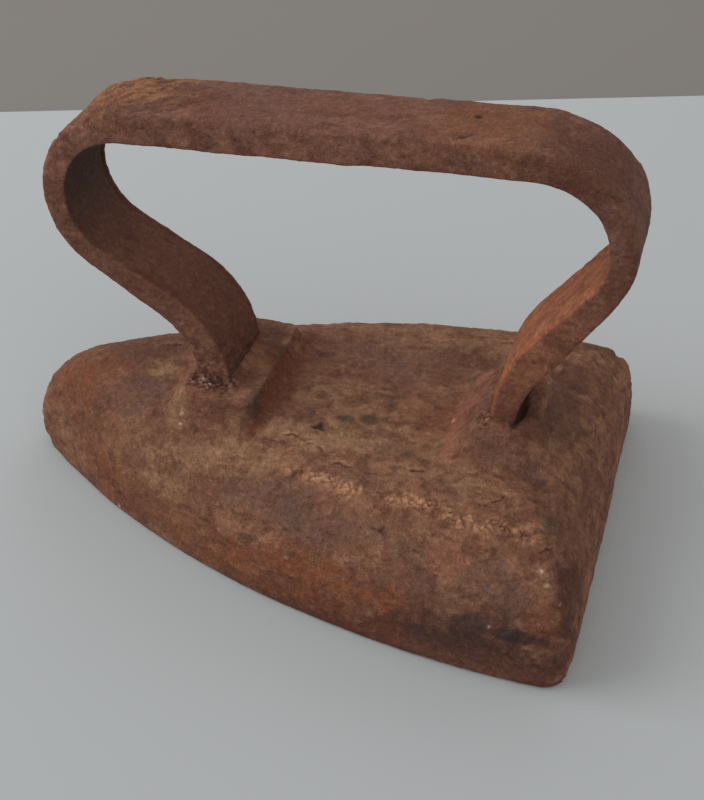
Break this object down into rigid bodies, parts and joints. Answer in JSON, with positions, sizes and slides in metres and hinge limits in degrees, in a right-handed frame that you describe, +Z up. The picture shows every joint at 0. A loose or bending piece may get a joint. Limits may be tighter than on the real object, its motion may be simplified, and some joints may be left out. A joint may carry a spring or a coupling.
{
  "type": "sad iron",
  "caption": "Solid laundry pressing iron: a heavy pillow-shaped cast body with a flat sole, and a bent strap handle whose ends are cast into it.",
  "frame": {"origin": "middle of the sole's bounding rectangle, on the face that the iron stands on", "axes": "+X towards the pointed nose, +Y to the left side, +Z up out of the sole"},
  "size_m": [0.1526, 0.103, 0.1084],
  "materials": {
    "body_rusty_cast_iron": "matt, rusted all over, with a rough cast skin, pits and flaking scale",
    "strap_rusty_wrought_iron": "matt, rusted all over, pitted, smoother along the grip"
  },
  "bodies": {
    "root": {"cast_body": "body_rusty_cast_iron", "strap_handle": "strap_rusty_wrought_iron"}
  },
  "joints": []
}
